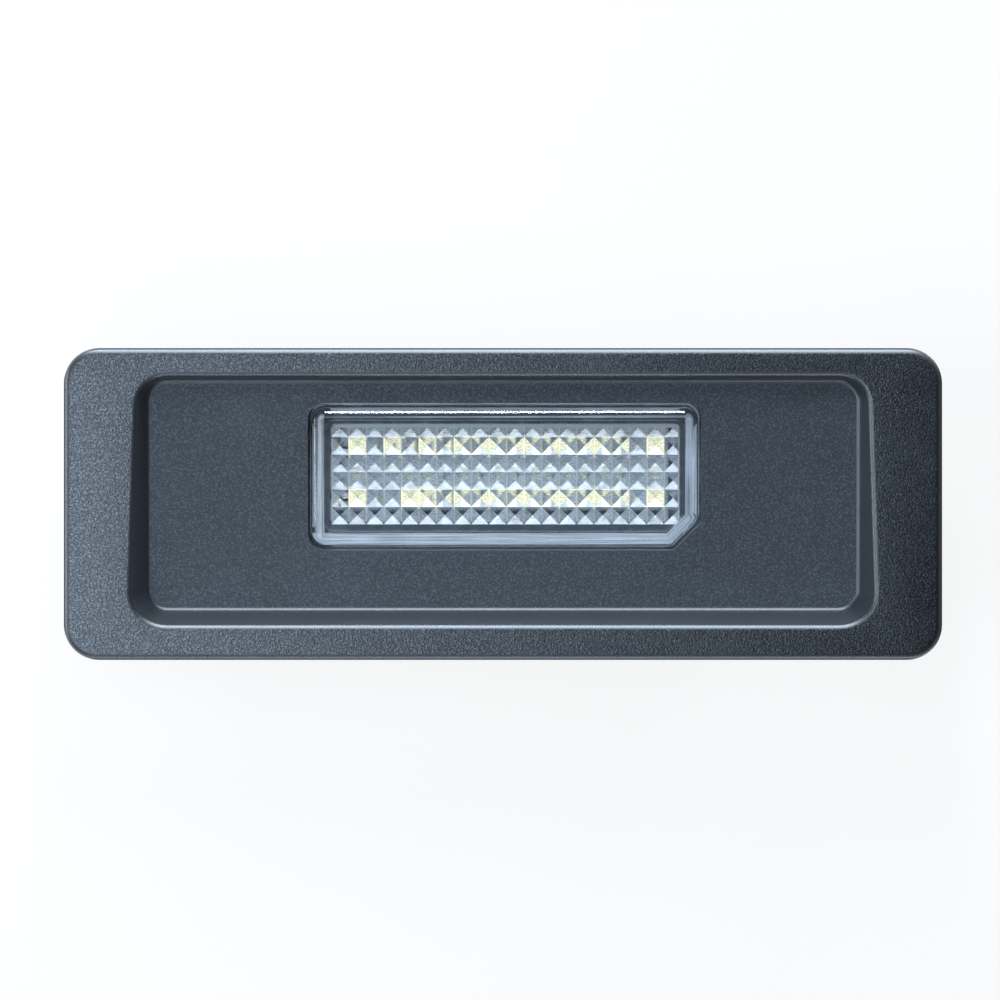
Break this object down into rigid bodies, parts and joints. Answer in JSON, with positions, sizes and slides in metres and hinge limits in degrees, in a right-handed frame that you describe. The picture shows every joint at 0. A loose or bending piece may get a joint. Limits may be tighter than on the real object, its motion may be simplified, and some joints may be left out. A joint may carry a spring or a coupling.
{
  "type": "number plate lamp",
  "caption": "Black plastic number plate lamp with a grained face plate, a sunken tilted tray and a clear prism lens over white lights, with a spring clip, hook and plug socket behind.",
  "frame": {"origin": "centre of the bottom plane of the lamp lying on its back, under the middle of the face plate", "axes": "+X along the face plate to the clip end (right in the picture), +Y across the plate to its shallow side (up in the picture), +Z out of the face"},
  "size_m": [0.1, 0.0356, 0.02],
  "materials": {
    "housing_plastic": "fine moulded leather grain, satin",
    "gasket_rubber": "matte soft rubber",
    "spring_steel": "rolled spring steel",
    "clear_lens": "clear polished polycarbonate",
    "seal_rubber": "matte",
    "case_plastic": "fine satin",
    "mask_plastic": "matte black",
    "board_white": "white solder resist",
    "led_cream": "white package with a cream phosphor window",
    "resistor_black": "glazed chip with metal ends",
    "chip_black": "moulded epoxy",
    "chip_tan": "fired ceramic",
    "terminal_brass": "tinned brass"
  },
  "bodies": {
    "root": {"housing": "housing_plastic", "gasket": "gasket_rubber", "spring_clip": "spring_steel", "lens": "clear_lens", "lens_seal": "seal_rubber", "lamp_case": "case_plastic", "light_mask": "mask_plastic", "circuit_board": "board_white", "led_01": "led_cream", "led_02": "led_cream", "led_03": "led_cream", "led_04": "led_cream", "led_05": "led_cream", "led_06": "led_cream", "led_07": "led_cream", "led_08": "led_cream", "led_09": "led_cream", "led_10": "led_cream", "led_11": "led_cream", "led_12": "led_cream", "led_13": "led_cream", "led_14": "led_cream", "led_15": "led_cream", "led_16": "led_cream", "led_17": "led_cream", "led_18": "led_cream", "resistor_1": "resistor_black", "resistor_2": "resistor_black", "resistor_3": "resistor_black", "resistor_4": "resistor_black", "resistor_5": "resistor_black", "resistor_6": "resistor_black", "diode": "chip_black", "suppressor": "chip_black", "capacitor": "chip_tan", "terminal_1": "terminal_brass", "terminal_2": "terminal_brass"}
  },
  "joints": []
}
